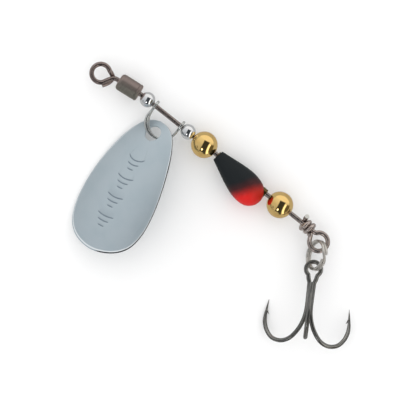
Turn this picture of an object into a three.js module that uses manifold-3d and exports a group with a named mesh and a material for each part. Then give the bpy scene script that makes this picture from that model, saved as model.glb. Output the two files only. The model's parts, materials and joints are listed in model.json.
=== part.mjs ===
// Inline spinner: a fishing lure whose blade turns round a straight wire shaft.
// Millimetres, +Z up, lying on a table. The shaft runs along +X from the line eye to the treble hook,
// and the blade and the hook lie on its -Y side. The origin is under the middle of the whole lure.
import * as THREE from 'three';
import { mergeVertices } from 'three/addons/utils/BufferGeometryUtils.js';
import Module from 'manifold-3d';

const wasm = await Module();
wasm.setup();

// Driving dimensions
const WIRE_R = 0.39;             // shaft, tail loop and line eye are bent from one gauge of wire
const RUN = 0.12;                // running clearance between a bore and the wire in it
const GAP = 0.1;                 // space between neighbours on the shaft
const BORE_R = WIRE_R + RUN;

const BRASS_BEAD_R = 2.22;
const CHROME_BEAD_R = 1.28;

const BODY_LENGTH = 10.3;        // along the drop's own axis
const BODY_R = 2.6;
const BODY_NOSE_R = 1.0;
const BODY_KEEL = 10;             // degrees that the drop leans off the wire, so its weight hangs to one side
const BODY_GAP = 0.85;           // bare wire seen at each end of the body
const CORE_R = 0.72;             // brass tube that the body is moulded on
const CORE_OUT = 0.25;           // the tube stands out of the body this far at its front
const CORE_PLAY = 0.04;          // around the tube, where the paint and glue are
const CORE_LENGTH = 9.95;        // from the body's front face to the tube's rear end

const END_FLOAT = 2.3;           // bare wire left behind the rear bead
const WRAPS = 3;
const WRAP_PITCH = 2 * WIRE_R + 0.08;
const WRAP_STEPS = 12;           // stations in one wrap
const WRAP_TO_LOOP = 1.75;       // from the first wrap to the tail loop's middle
const LOOP_R = 1.52;             // mean radius of the tail loop and the line eye
const LOOP_DROP = 0.8;           // how far the tail loop's centre lies off the shaft

const BARREL_R = 1.45;
const BARREL_LENGTH = 4.0;
const BARREL_WALL = 0.4;
const BARREL_END = 0.55;
const BARREL_ROUND = 0.35;
const BARREL_START = 0.3;        // from the kink in the shaft to the barrel
const SWIVEL_TURN = 6.5;         // degrees that the swivel hangs off the shaft's line
const HEAD_R = 0.82;             // the wires end in heads inside the barrel
const HEAD_LENGTH = 0.45;
const HEAD_PLAY = 0.15;
const EYE_REACH = 3.2;           // from the barrel's end to the line eye's middle
const EYE_DROP = 0.54;

const CLEVIS_SPAN = 5.4;         // between the middles of its two eyes
const CLEVIS_DEPTH = 4.15;
const CLEVIS_R = 0.29;
const CLEVIS_EYE_R = 1.02;
const CLEVIS_EYE_THICK = 0.42;
const CLEVIS_PLAY = 0.25;        // between the front eye and the nose bead

const BLADE_THICK = 0.45;
const BLADE_HOLE_R = 1.45;
const BLADE_LENGTH_DOME = 25.9;  // semi-axes of the ellipsoid that the blade is pressed to
const BLADE_WIDTH_DOME = 14.5;
const BLADE_HEIGHT_DOME = 12;
const BLADE_DOME_AT = 9.5;       // the dome's top, measured from the hole towards the wide end
const BLADE_DOME_RISE = 0.9;     // the dome's top stands this high above the hole's own level
const BLADE_TURN = 9.5;          // degrees, seen from above
const BLADE_ROLL = 27;           // the side towards the tail is the higher one
const BLADE_PITCH = 5.5;         // the wide end lies on the table
const BLADE_SEAT = [-0.3, 0.3, 0.3]; // the middle of the hole, from the middle of the bow's wire

const RING_R = 2.36;             // split ring, mean radius
const RING_WIRE_R = 0.26;
const RING_STEP = 2 * RING_WIRE_R + 0.04;
const RING_LIFT = 0.2;           // its middle stands this much above the shaft's line
const RING_LEAN = 61;            // degrees that the ring stands up from the table
const RING_HEADING = -63.6;      // degrees, of its long axis seen from above
const RING_FROM_LOOP = [1.1, -1.93];

const HOOK_WIRE_R = 0.36;
const HOOK_EYE_R = 1.24;
const HOOK_BUNDLE_R = 0.44;      // from the treble's axis to each shank's own middle
const HOOK_POINT_LENGTH = 3.0;
const HOOK_TURN = -59.5;         // degrees, seen from above
const HOOK_RISE = 13;            // degrees that the shank climbs towards the bends
const HOOK_SPIN = 4;             // degrees that the free hook leans off upright

const rad = THREE.MathUtils.degToRad;
const v3 = (x, y, z = 0) => new THREE.Vector3(x, y, z);

// Materials, one for each finish
const finish = (color, metalness, roughness) => new THREE.MeshStandardMaterial({ color, metalness, roughness });
const nickel = finish(0xc9d0d4, 1, 0.15);
const chrome = finish(0xd8dcde, 1, 0.08);
const brass = finish(0xd9a944, 1, 0.12);
const darkWire = finish(0x6b625c, 1, 0.35);
const gunmetal = finish(0x5a554f, 1, 0.38);
const hookSteel = finish(0x55534f, 1, 0.32);
const ringSteel = finish(0x9a958e, 1, 0.22);
const paint = finish(0x23262a, 0, 0.4);

// A path that has a station at each of its points, so straight runs need no steps of their own.
class WirePath extends THREE.Curve {
  constructor(points) {
    super();
    this.points = points;
  }
  getPointAt(u) {
    const last = this.points.length - 1;
    return this.points[Math.round(u * last)].clone();
  }
  getTangentAt(u) {
    const last = this.points.length - 1;
    const at = Math.round(u * last);
    const before = this.points[Math.max(at - 1, 0)];
    const after = this.points[Math.min(at + 1, last)];
    return after.clone().sub(before).normalize();
  }
}

function wire(points, radius, sides = 8) {
  const section = new THREE.Shape();
  for (let k = 0; k < sides; k++) {
    const angle = ((k + 0.5) / sides) * 2 * Math.PI;
    const method = k ? 'lineTo' : 'moveTo';
    section[method](radius * Math.cos(angle), radius * Math.sin(angle));
  }
  section.closePath();
  const path = new WirePath(points);
  return new THREE.ExtrudeGeometry(section, { steps: points.length - 1, bevelEnabled: false, extrudePath: path });
}

// A body of revolution about the X axis: each profile point is [x, radius].
function turned(profile, segments = 20) {
  const points = [...profile, profile[0]].map(([x, r]) => new THREE.Vector2(r, x));
  return new THREE.LatheGeometry(points, segments).rotateZ(-Math.PI / 2);
}

function arc(centre, radius, from, to, steps, u = v3(1, 0), v = v3(0, 1)) {
  return Array.from({ length: steps + 1 }, (_, k) => {
    const angle = rad(from + ((to - from) * k) / steps);
    return centre.clone().addScaledVector(u, radius * Math.cos(angle)).addScaledVector(v, radius * Math.sin(angle));
  });
}

function solid(geometry) {
  const bare = geometry.clone();
  bare.deleteAttribute('normal');
  bare.deleteAttribute('uv');
  const merged = mergeVertices(bare, 1e-5);
  const vertProperties = new Float32Array(merged.attributes.position.array);
  const triVerts = new Uint32Array(merged.index.array);
  return new wasm.Manifold(new wasm.Mesh({ numProp: 3, vertProperties, triVerts }));
}

function geometryOf(manifold) {
  const { vertProperties, triVerts, numProp } = manifold.getMesh();
  const geometry = new THREE.BufferGeometry();
  const position = [];
  for (let k = 0; k < vertProperties.length; k += numProp) position.push(...vertProperties.slice(k, k + 3));
  geometry.setAttribute('position', new THREE.Float32BufferAttribute(position, 3));
  geometry.setIndex([...triVerts]);
  return geometry;
}

const join = (...geometries) => geometryOf(geometries.map(solid).reduce((a, b) => a.add(b)));

function node(parent, name, geometry, material) {
  const mesh = new THREE.Mesh(geometry, material);
  mesh.name = name;
  parent.add(mesh);
  return mesh;
}

const lure = new THREE.Group();

// Stations along the shaft, worked out from the front brass bead, whose middle is at x = 0
const flatOf = (radius) => Math.sqrt(radius ** 2 - BORE_R ** 2);
const brassHalf = flatOf(BRASS_BEAD_R);
const chromeHalf = flatOf(CHROME_BEAD_R);
const bearingBeadX = -brassHalf - GAP - chromeHalf;
const rearEyeX = bearingBeadX - chromeHalf - GAP - CLEVIS_EYE_THICK / 2;
const frontEyeX = rearEyeX - CLEVIS_SPAN;
const noseBeadX = frontEyeX - CLEVIS_EYE_THICK / 2 - CLEVIS_PLAY - chromeHalf;
const bodyX = brassHalf + BODY_GAP;
const rearBeadX = bodyX + CORE_LENGTH + BODY_GAP - 0.05 + brassHalf;
const wrapX = rearBeadX + brassHalf + END_FLOAT;
const kinkX = noseBeadX - chromeHalf - 0.2;

// Beads: each is a ball with a bore
function bead(name, x, radius, material, segments) {
  const half = flatOf(radius);
  const start = Math.acos(half / radius);
  const outer = Array.from({ length: 13 }, (_, k) => {
    const angle = start + ((Math.PI - 2 * start) * k) / 12;
    return [-radius * Math.cos(angle), radius * Math.sin(angle)];
  });
  node(lure, name, turned(outer, segments), material).position.x = x;
}
bead('nose_bead', noseBeadX, CHROME_BEAD_R, chrome, 16);
bead('bearing_bead', bearingBeadX, CHROME_BEAD_R, chrome, 16);
bead('front_brass_bead', 0, BRASS_BEAD_R, brass, 20);
bead('rear_brass_bead', rearBeadX, BRASS_BEAD_R, brass, 20);

// Body: a painted drop on a brass core tube. The drop leans off the wire, so one side bulges as a keel.
const dropEdge = new THREE.CatmullRomCurve3([
  v3(0, BODY_NOSE_R), v3(0.23 * BODY_LENGTH, 0.65 * BODY_R), v3(0.41 * BODY_LENGTH, 0.85 * BODY_R),
  v3(0.62 * BODY_LENGTH, BODY_R), v3(0.81 * BODY_LENGTH, 0.94 * BODY_R), v3(0.92 * BODY_LENGTH, 0.71 * BODY_R),
  v3(0.985 * BODY_LENGTH, 0.33 * BODY_R), v3(BODY_LENGTH, 0),
]);
const dropProfile = [[0, 0], ...dropEdge.getPoints(16).map((p) => [Math.min(p.x, BODY_LENGTH), Math.max(p.y, 0)])];
const drop = turned(dropProfile, 24).rotateZ(-rad(BODY_KEEL));
const coreHole = turned([[-1, 0], [-1, CORE_R + CORE_PLAY], [BODY_LENGTH + 1, CORE_R + CORE_PLAY], [BODY_LENGTH + 1, 0]]);
node(lure, 'body', geometryOf(solid(drop).subtract(solid(coreHole))), paint).position.x = bodyX;
const coreProfile = [[-CORE_OUT, BORE_R], [-CORE_OUT, CORE_R], [CORE_LENGTH, CORE_R], [CORE_LENGTH, BORE_R]];
node(lure, 'body_core_tube', turned(coreProfile, 16), brass).position.x = bodyX;

// Swivel: its own frame has the kink in the shaft as origin and +X towards the line
const swivel = new THREE.Group();
swivel.position.x = kinkX;
swivel.rotation.z = Math.PI + rad(SWIVEL_TURN);
lure.add(swivel);
const barrelStop = BARREL_START + BARREL_LENGTH;
const cavityStart = BARREL_START + BARREL_END;
const cavityStop = barrelStop - BARREL_END;
const cavityR = BARREL_R - BARREL_WALL;
const lip = BARREL_ROUND * (1 - Math.SQRT1_2);
node(swivel, 'swivel_barrel', turned([
  [BARREL_START, BORE_R], [BARREL_START, BARREL_R - BARREL_ROUND], [BARREL_START + lip, BARREL_R - lip],
  [BARREL_START + BARREL_ROUND, BARREL_R], [barrelStop - BARREL_ROUND, BARREL_R], [barrelStop - lip, BARREL_R - lip],
  [barrelStop, BARREL_R - BARREL_ROUND], [barrelStop, BORE_R], [cavityStop, BORE_R], [cavityStop, cavityR],
  [cavityStart, cavityR], [cavityStart, BORE_R],
], 24), gunmetal);

const head = () => turned([[0, 0], [0, HEAD_R], [HEAD_LENGTH, HEAD_R], [HEAD_LENGTH, 0]], 16);
const eyeCentre = v3(barrelStop + EYE_REACH, EYE_DROP);
const eyeHeadX = cavityStop - HEAD_PLAY - HEAD_LENGTH;
const eyePath = [
  v3(eyeHeadX + HEAD_LENGTH / 2, 0), v3(barrelStop + 0.75, 0), v3(barrelStop + 1.25, -0.04),
  ...arc(eyeCentre, LOOP_R, 222, 480, 22), v3(barrelStop + 1.72, 1.22), v3(barrelStop + 1.35, 0.86),
];
const eyeWire = wire(eyePath, WIRE_R, 8);
node(swivel, 'line_eye', join(eyeWire, head().translate(eyeHeadX, 0, 0)), gunmetal);

// Shaft: headed in the swivel, straight through the beads, then the tail loop and its wraps
const turnDir = v3(-Math.cos(rad(SWIVEL_TURN)), -Math.sin(rad(SWIVEL_TURN)));
const shaftHeadAt = cavityStart + HEAD_PLAY;
const loopX = wrapX + WRAPS * WRAP_PITCH + WRAP_TO_LOOP;
const loopCentre = v3(loopX, -LOOP_DROP);
const wrapR = 2 * WIRE_R + 0.05;
const wrapTurns = Array.from({ length: WRAP_STEPS * WRAPS + 3 }, (_, k) => {
  const angle = rad(-60 + (360 * k) / WRAP_STEPS);
  const x = wrapX + WRAPS * WRAP_PITCH - (k * WRAP_PITCH) / WRAP_STEPS;
  return v3(x, -wrapR * Math.cos(angle), -wrapR * Math.sin(angle));
});
const wrapEnd = wrapTurns.at(-1);
const shaftPath = [
  v3(kinkX, 0).addScaledVector(turnDir, shaftHeadAt + HEAD_LENGTH / 2),
  v3(kinkX, 0),
  v3(wrapX, 0),
  v3(loopX - 1.9, 0.02),
  ...arc(loopCentre, LOOP_R, 128, -150, 22),
  ...wrapTurns,
  wrapEnd.clone().add(v3(-0.12, 0.5, 0.5)),
];
const shaftHead = head().rotateZ(Math.PI + rad(SWIVEL_TURN));
const headPlace = v3(kinkX, 0).addScaledVector(turnDir, shaftHeadAt);
shaftHead.translate(headPlace.x, headPlace.y, 0);
node(lure, 'shaft_wire', join(wire(shaftPath, WIRE_R, 8), shaftHead), darkWire);

// Clevis: two eyes on the shaft and a bow that carries the blade
const clevis = new THREE.Group();
lure.add(clevis);
const clevisEye = (x) => turned([
  [x - CLEVIS_EYE_THICK / 2, BORE_R], [x - CLEVIS_EYE_THICK / 2, CLEVIS_EYE_R],
  [x + CLEVIS_EYE_THICK / 2, CLEVIS_EYE_R], [x + CLEVIS_EYE_THICK / 2, BORE_R],
], 16);
const clevisMiddle = (frontEyeX + rearEyeX) / 2;
const bowCentre = v3(clevisMiddle, -(CLEVIS_DEPTH - CLEVIS_SPAN / 2));
const legTop = -(BORE_R + CLEVIS_EYE_R) / 2;
const bowPath = [
  v3(frontEyeX, legTop),
  ...arc(bowCentre, CLEVIS_SPAN / 2, 180, 360, 16),
  v3(rearEyeX, legTop),
];
node(clevis, 'clevis', join(clevisEye(frontEyeX), clevisEye(rearEyeX), wire(bowPath, CLEVIS_R, 8)), nickel);

// Blade: its own frame has the hole as origin, +Y towards the wide end and +Z out of the domed face
const bladeHalf = [
  [-2.42, 0], [-2.1, 1.5], [-1.3, 2.8], [0, 3.8], [2.6, 5.05], [7.4, 6.35], [12.2, 7], [16, 6.8],
  [18.8, 5.8], [20.7, 3.7], [21.6, 0],
];
const bladeEdge = new THREE.SplineCurve([
  ...bladeHalf.map(([y, x]) => new THREE.Vector2(x, y)),
  ...bladeHalf.slice(1, -1).reverse().map(([y, x]) => new THREE.Vector2(-x, y)),
  new THREE.Vector2(bladeHalf[0][1], bladeHalf[0][0]),
]);
const bladeOutline = new THREE.Shape(bladeEdge.getPoints(64).slice(0, -1));
const bladeHole = new THREE.Path();
bladeHole.absarc(0, 0, BLADE_HOLE_R, 0, 2 * Math.PI, true);
bladeOutline.holes.push(bladeHole);
const bladeBlank = new THREE.ExtrudeGeometry(bladeOutline, { depth: 8, bevelEnabled: false, curveSegments: 10 });
bladeBlank.translate(0, 0, -6);
function dome(thinner) {
  const ball = new THREE.SphereGeometry(1, 36, 36).rotateX(Math.PI / 2);
  ball.scale(BLADE_WIDTH_DOME - thinner, BLADE_LENGTH_DOME - thinner, BLADE_HEIGHT_DOME - thinner);
  return ball.translate(0, BLADE_DOME_AT, BLADE_DOME_RISE - BLADE_HEIGHT_DOME);
}
const bladeShell = solid(dome(0)).subtract(solid(dome(BLADE_THICK))).intersect(solid(bladeBlank));
const blade = node(lure, 'blade', geometryOf(bladeShell), nickel);
blade.position.set(clevisMiddle, -CLEVIS_DEPTH, 0).add(v3(...BLADE_SEAT));
blade.rotateZ(Math.PI + rad(BLADE_TURN));
blade.rotateX(rad(BLADE_PITCH));
blade.rotateY(rad(BLADE_ROLL));

// Split ring: two turns of wire side by side, through the tail loop and the hook's eye
const ringLong = v3(Math.cos(rad(RING_HEADING)), Math.sin(rad(RING_HEADING)));
const ringSide = v3(-ringLong.y, ringLong.x).multiplyScalar(Math.cos(rad(RING_LEAN))).add(v3(0, 0, Math.sin(rad(RING_LEAN))));
const ringNormal = ringLong.clone().cross(ringSide);
const ringCentre = loopCentre.clone().add(v3(...RING_FROM_LOOP, RING_LIFT));
const ringPath = Array.from({ length: 51 }, (_, k) => {
  const angle = 100 + (700 * k) / 50;
  const across = THREE.MathUtils.smoothstep(angle, 425, 475) - 0.5;
  const at = arc(ringCentre, RING_R, angle, angle, 1, ringLong, ringSide)[0];
  return at.addScaledVector(ringNormal, across * RING_STEP);
});
node(lure, 'split_ring', wire(ringPath, RING_WIRE_R, 8), ringSteel);

// Treble hook: one wire makes the eye and two hooks, and a third hook is brazed to it
const hookEnd = ringCentre.clone().addScaledVector(ringLong, RING_R);
const hook = new THREE.Group();
hook.position.copy(hookEnd);
hook.rotation.order = 'ZYX';
hook.rotation.set(rad(HOOK_SPIN), rad(-HOOK_RISE), rad(HOOK_TURN));
lure.add(hook);
const hookBend = new THREE.CatmullRomCurve3([
  v3(2.3, HOOK_BUNDLE_R), v3(7.1, HOOK_BUNDLE_R), v3(8.9, 1.1), v3(10.3, 1.95), v3(11.5, 3.1), v3(12.05, 4.6),
  v3(11.65, 6.3), v3(10.5, 7.4), v3(9.2, 7.95), v3(8.2, 8.05),
], false, 'centripetal').getPoints(26).slice(4);
const around = (angle) => v3(0, -Math.sin(rad(angle)), Math.cos(rad(angle)));
const placed = (p, outward) => v3(p.x, 0).addScaledVector(outward, p.y);
function point(outward) {
  const last = placed(hookBend.at(-1), outward);
  const cone = new THREE.CylinderGeometry(0.03, HOOK_WIRE_R * 0.99, HOOK_POINT_LENGTH, 8);
  const along = v3(-1, 0).addScaledVector(outward, -0.1).normalize();
  cone.applyQuaternion(new THREE.Quaternion().setFromUnitVectors(v3(0, 1), along));
  const middle = last.clone().addScaledVector(along, HOOK_POINT_LENGTH / 2 - 0.04);
  return cone.translate(middle.x, middle.y, middle.z);
}
function barb(outward) {
  const spike = new THREE.ConeGeometry(0.16, 0.7, 6);
  const along = v3(0.8, 0).addScaledVector(outward, -0.6).normalize();
  spike.applyQuaternion(new THREE.Quaternion().setFromUnitVectors(v3(0, 1), along));
  const root = placed(hookBend.at(-1), outward).add(v3(-0.55, 0)).addScaledVector(outward, -0.3);
  return spike.translate(root.x, root.y, root.z);
}
const hookLine = (outward) => [placed(v3(2.3, HOOK_BUNDLE_R), outward), ...hookBend.map((p) => placed(p, outward))];
const [left, right, free] = [-120, 120, 0].map(around);
const eyeTurn = arc(v3(0, 0), HOOK_EYE_R, 35, 325, 16);
const pairPath = [...hookLine(left).reverse(), ...eyeTurn, ...hookLine(right)];
node(hook, 'hook_pair', join(wire(pairPath, HOOK_WIRE_R, 8), point(left), point(right), barb(left), barb(right)), hookSteel);
node(hook, 'hook_single', join(wire(hookLine(free), HOOK_WIRE_R, 8), point(free), barb(free)), hookSteel);

// Stand the lure on the table with the origin under its middle
lure.updateMatrixWorld(true);
const box = new THREE.Box3().setFromObject(lure, true);
const middle = box.getCenter(v3(0, 0));
lure.position.set(-middle.x, -middle.y, -box.min.z);

export default lure;
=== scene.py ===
"""Inline spinner: the finished surfaces of a small fishing lure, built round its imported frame.

Each piece is shaped in millimetres in a frame of its own and then placed in the row's frame, in metres.
"""

import json
import math

import bmesh
import bpy
from bpy.props import FloatProperty, FloatVectorProperty, IntProperty, PointerProperty
from mathutils import Matrix, Vector


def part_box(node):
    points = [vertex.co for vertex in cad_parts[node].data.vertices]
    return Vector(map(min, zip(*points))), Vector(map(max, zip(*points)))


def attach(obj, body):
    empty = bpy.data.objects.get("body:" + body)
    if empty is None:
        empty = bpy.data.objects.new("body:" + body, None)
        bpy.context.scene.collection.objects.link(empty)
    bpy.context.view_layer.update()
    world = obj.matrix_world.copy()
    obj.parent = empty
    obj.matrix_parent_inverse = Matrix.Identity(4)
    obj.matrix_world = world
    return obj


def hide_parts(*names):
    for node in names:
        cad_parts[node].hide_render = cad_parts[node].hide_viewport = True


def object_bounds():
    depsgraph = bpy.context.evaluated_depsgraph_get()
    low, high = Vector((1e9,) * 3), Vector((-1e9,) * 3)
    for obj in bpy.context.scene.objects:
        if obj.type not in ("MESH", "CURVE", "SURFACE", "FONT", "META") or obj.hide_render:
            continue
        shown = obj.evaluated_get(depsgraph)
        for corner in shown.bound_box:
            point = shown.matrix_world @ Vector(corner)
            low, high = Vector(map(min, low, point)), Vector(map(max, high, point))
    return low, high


bl_info = {
    "name": "Inline Spinner",
    "version": (1, 0, 0),
    "blender": (4, 5, 0),
    "location": "View3D > Sidebar > Spinner",
    "description": "Builds the beads, blade, body, swivel and treble hook of an inline spinner",
    "category": "Add Mesh",
}

MM = 0.001
TURN = math.tau

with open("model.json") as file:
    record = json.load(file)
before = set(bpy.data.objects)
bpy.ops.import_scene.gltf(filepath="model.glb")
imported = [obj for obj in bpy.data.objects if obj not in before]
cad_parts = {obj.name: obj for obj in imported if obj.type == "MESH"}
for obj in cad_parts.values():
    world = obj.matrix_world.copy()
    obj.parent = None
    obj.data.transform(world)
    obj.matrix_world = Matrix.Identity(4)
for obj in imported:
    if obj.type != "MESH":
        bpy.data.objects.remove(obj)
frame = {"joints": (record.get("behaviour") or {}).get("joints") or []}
CAD_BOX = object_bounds()
JOINTS = {joint["name"]: joint for joint in frame["joints"]}


# ---------------------------------------------------------------- places in the frame


def middle(node):
    """The middle of a CAD node's box."""
    low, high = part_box(node)
    return (low + high) / 2


def pivot(joint):
    """The point that a hinge turns about."""
    return Vector(JOINTS[joint]["pos_m"])


def turned_by(x=0.0, y=0.0, z=0.0):
    """Turns in degrees: about X first, then Y, then Z."""
    return (
        Matrix.Rotation(math.radians(z), 4, "Z")
        @ Matrix.Rotation(math.radians(y), 4, "Y")
        @ Matrix.Rotation(math.radians(x), 4, "X")
    )


SHAFT = middle("front_brass_bead")
SWIVEL_AXIS = Vector(JOINTS["barrel_spin"]["axis"])
SWIVEL_TURN = math.degrees(math.atan2(SWIVEL_AXIS.y, SWIVEL_AXIS.x))


# ---------------------------------------------------------------- sizes and colours


def length(title, description, millimetres):
    """A length property, kept in metres."""
    return FloatProperty(
        name=title, description=description, default=millimetres * MM, unit="LENGTH", precision=5
    )


def colour(title, description, value):
    """A colour property."""
    return FloatVectorProperty(
        name=title, description=description, default=value, subtype="COLOR", size=3, min=0.0, max=1.0
    )


class SpinnerSizes(bpy.types.PropertyGroup):
    """Sizes of the lure's pieces."""

    wire_radius: length("Wire radius", "Shaft, tail loop and line eye", 0.39)
    bore_radius: length("Bore radius", "Hole through each bead and tube on the shaft", 0.5)
    brass_bead_radius: length("Brass bead radius", "The two large beads", 2.22)
    chrome_bead_radius: length("Chrome bead radius", "The two small beads", 1.28)
    body_length: length("Body length", "Along the drop's own axis", 10.3)
    body_radius: length("Body radius", "At the drop's fullest part", 2.6)
    body_nose_radius: length("Body nose radius", "Front face of the drop", 1.0)
    tube_radius: length("Core tube radius", "Brass tube in the body", 0.72)
    loop_radius: length("Loop radius", "Tail loop and line eye, to the wire's middle", 1.52)
    barrel_radius: length("Barrel radius", "Swivel barrel", 1.45)
    barrel_length: length("Barrel length", "Swivel barrel", 4.0)
    clevis_span: length("Clevis span", "Between its two eyes", 5.4)
    clevis_depth: length("Clevis depth", "From the shaft to the bow", 4.15)
    strip_width: length("Clevis strip width", "At the bow", 0.98)
    blade_thickness: length("Blade thickness", "Thickness of the plate", 0.42)
    blade_hole_radius: length("Blade hole radius", "Hole that the clevis passes through", 1.4)
    stamp_depth: length("Ripple depth", "Depth of the stamped ripples", 0.07)
    ring_radius: length("Split ring radius", "To the wire's middle", 2.36)
    ring_wire_radius: length("Split ring wire radius", "One of its two turns", 0.232)
    hook_wire_radius: length("Hook wire radius", "Shank and bends", 0.355)
    hook_eye_radius: length("Hook eye radius", "To the wire's middle", 1.24)
    body_keel: FloatProperty(
        name="Body keel",
        description="Lean of the drop off the wire",
        default=math.radians(10.0),
        subtype="ANGLE",
    )
    wraps: IntProperty(
        name="Wraps", description="Turns of wire behind the rear bead", default=3, min=2, max=5
    )


class SpinnerColours(bpy.types.PropertyGroup):
    """Colours of the lure's finishes."""

    chrome: colour("Chrome", "Small beads", (0.83, 0.84, 0.86))
    brass: colour("Brass", "Large beads and core tube", (0.93, 0.645, 0.25))
    nickel: colour("Nickel", "Clevis", (0.68, 0.70, 0.69))
    blade: colour("Blade", "Blade plating", (0.46, 0.53, 0.575))
    gunmetal: colour("Gunmetal", "Swivel barrel and line eye", (0.34, 0.27, 0.255))
    wire: colour("Wire", "Shaft", (0.50, 0.44, 0.41))
    ring: colour("Ring steel", "Split ring", (0.88, 0.86, 0.82))
    hook: colour("Hook steel", "Treble hook", (0.36, 0.355, 0.34))
    paint_front: colour("Front paint", "Black part of the body", (0.0115, 0.0145, 0.0165))
    paint_middle: colour("Middle paint", "Where black meets red", (0.060, 0.012, 0.013))
    paint_rear: colour("Rear paint", "Red part of the body", (0.60, 0.011, 0.010))
    floor: colour("Floor", "Table top", (0.90, 0.90, 0.90))


def mm(name):
    """A size of the lure in millimetres."""
    return getattr(bpy.context.scene.spinner_sizes, name) / MM


def tint(name):
    """A colour of the lure with its alpha."""
    return (*getattr(bpy.context.scene.spinner_colours, name), 1.0)


def times(shade, *factors):
    """A colour multiplied by one factor, or by one for each of its three parts. No part passes 1."""
    if len(factors) == 1:
        factors = factors * 3
    return (*(min(1.0, part * factor) for part, factor in zip(shade, factors)), 1.0)


# ---------------------------------------------------------------- shaping


def clamp(number):
    """The number, held between 0 and 1."""
    return max(0.0, min(1.0, number))


def eased(share):
    """A share from 0 to 1 that starts and stops gently."""
    return share * share * (3 - 2 * share)


def spread(start, stop, steps):
    """Evenly spaced numbers from start to stop, both ends included."""
    return [start + (stop - start) * k / steps for k in range(steps + 1)]


def spread_points(first, last, steps):
    """Evenly spaced points on a straight line, both ends included."""
    return [Vector(first).lerp(Vector(last), k / steps) for k in range(steps + 1)]


def arc(centre, radius, start, stop, steps, u=(1, 0, 0), v=(0, 1, 0)):
    """Points on a circle, from one angle in degrees to another."""
    centre, u, v = Vector(centre), Vector(u), Vector(v)
    angles = [math.radians(a) for a in spread(start, stop, steps)]
    return [centre + radius * (u * math.cos(a) + v * math.sin(a)) for a in angles]


def through(points, steps):
    """A smooth curve through the points, with that many steps between each two."""
    points = [Vector(p) for p in points]
    padded = [2 * points[0] - points[1], *points, 2 * points[-1] - points[-2]]
    path = []
    for a, b, c, d in zip(padded, padded[1:], padded[2:], padded[3:]):
        t1 = math.sqrt((b - a).length)
        t2 = t1 + math.sqrt((c - b).length)
        t3 = t2 + math.sqrt((d - c).length)
        for t in spread(t1, t2, steps)[:-1]:
            ab, bc, cd = a.lerp(b, t / t1), b.lerp(c, (t - t1) / (t2 - t1)), c.lerp(d, (t - t2) / (t3 - t2))
            early, late = ab.lerp(bc, t / t2), bc.lerp(cd, (t - t1) / (t3 - t1))
            path.append(early.lerp(late, (t - t1) / (t2 - t1)))
    return [*path, points[-1]]


def sharp_edges(bm, degrees=40):
    """Edges where two faces meet at more than the angle."""
    limit = math.radians(degrees)
    return [e for e in bm.edges if e.is_manifold and e.calc_face_angle(0) > limit]


def soften(bm, width, segments=3, degrees=40):
    """Rounds the sharp edges."""
    bmesh.ops.bevel(
        bm,
        geom=sharp_edges(bm, degrees),
        offset=width,
        offset_type="OFFSET",
        affect="EDGES",
        segments=segments,
        profile=0.5,
        material=-1,
        clamp_overlap=True,
    )


def lathe(profile, sides=72):
    """Spins a profile of (along, radius) points about X. It closes on itself, or runs from axis to axis."""
    bm = bmesh.new()
    verts = [bm.verts.new((x, 0, r)) for x, r in profile]
    ends = list(zip(verts, verts[1:]))
    on_axis = profile[0][1] == 0 and profile[-1][1] == 0
    if not on_axis:
        ends.append((verts[-1], verts[0]))
    edges = [bm.edges.new(pair) for pair in ends]
    bmesh.ops.spin(bm, geom=verts + edges, axis=(1, 0, 0), angle=TURN, steps=sides, use_merge=True)
    bmesh.ops.remove_doubles(bm, verts=bm.verts, dist=1e-5)
    bmesh.ops.recalc_face_normals(bm, faces=bm.faces)
    return bm


def stations(path, up):
    """A frame at each point of a path: X and Y span the section there, and Z runs along the path."""
    points = [Vector(p) for p in path]
    before, after = points[:1] + points[:-1], points[1:] + points[-1:]
    tangents = [(b - a).normalized() for a, b in zip(before, after)]
    side = tangents[0].cross(Vector(up)).normalized()
    for point, tangent in zip(points, tangents):
        side = (side - tangent * side.dot(tangent)).normalized()
        place = Matrix((side, tangent.cross(side), tangent)).transposed().to_4x4()
        place.translation = point
        yield place


def ring_edges(ring):
    """The edges that join a ring's vertices to one another."""
    around = set(ring)
    return list(dict.fromkeys(e for v in ring for e in v.link_edges if e.other_vert(v) in around))


def grown(bm, ring):
    """Extrudes a ring and gives the vertices of the new one."""
    made = bmesh.ops.extrude_edge_only(bm, edges=ring_edges(ring))["geom"]
    return [g for g in made if isinstance(g, bmesh.types.BMVert)]


def sweep(path, section, sides=20, up=(0, 0, 1)):
    """A closed wire along a path, where section(share) gives its half width and half height.

    The strand attribute holds the place round the wire as a cosine and a sine, and the way along it.
    """
    bm = bmesh.new()
    strand = bm.verts.layers.float_vector.new("strand")
    ring = bmesh.ops.create_circle(bm, cap_ends=True, segments=sides, radius=1)["verts"]
    run, last, here = 0.0, None, Matrix.Identity(4)
    places = list(stations(path, up))
    for k, place in enumerate(places):
        width, height = section(k / (len(places) - 1))
        shape = place @ Matrix.Diagonal((width, height, 1, 1))
        if last:
            run += (place.translation - last.translation).length
            ring = grown(bm, ring)
        bmesh.ops.transform(bm, matrix=shape @ here.inverted(), verts=ring)
        back = shape.inverted()
        for v in ring:
            flat = back @ v.co
            v[strand] = (flat.x, flat.y, run)
        last, here = place, shape
    bmesh.ops.contextual_create(bm, geom=ring_edges(ring))
    bmesh.ops.recalc_face_normals(bm, faces=bm.faces)
    return bm


def wire(path, radius, sides=20, up=(0, 0, 1)):
    """A round wire along a path."""
    return sweep(path, lambda share: (radius, radius), sides, up)


def meshed(shape, name="shape"):
    """The shape as a mesh. A bmesh is used up, and a mesh is given back as it is."""
    if isinstance(shape, bpy.types.Mesh):
        return shape
    mesh = bpy.data.meshes.new(name)
    shape.to_mesh(mesh)
    shape.free()
    return mesh


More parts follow.
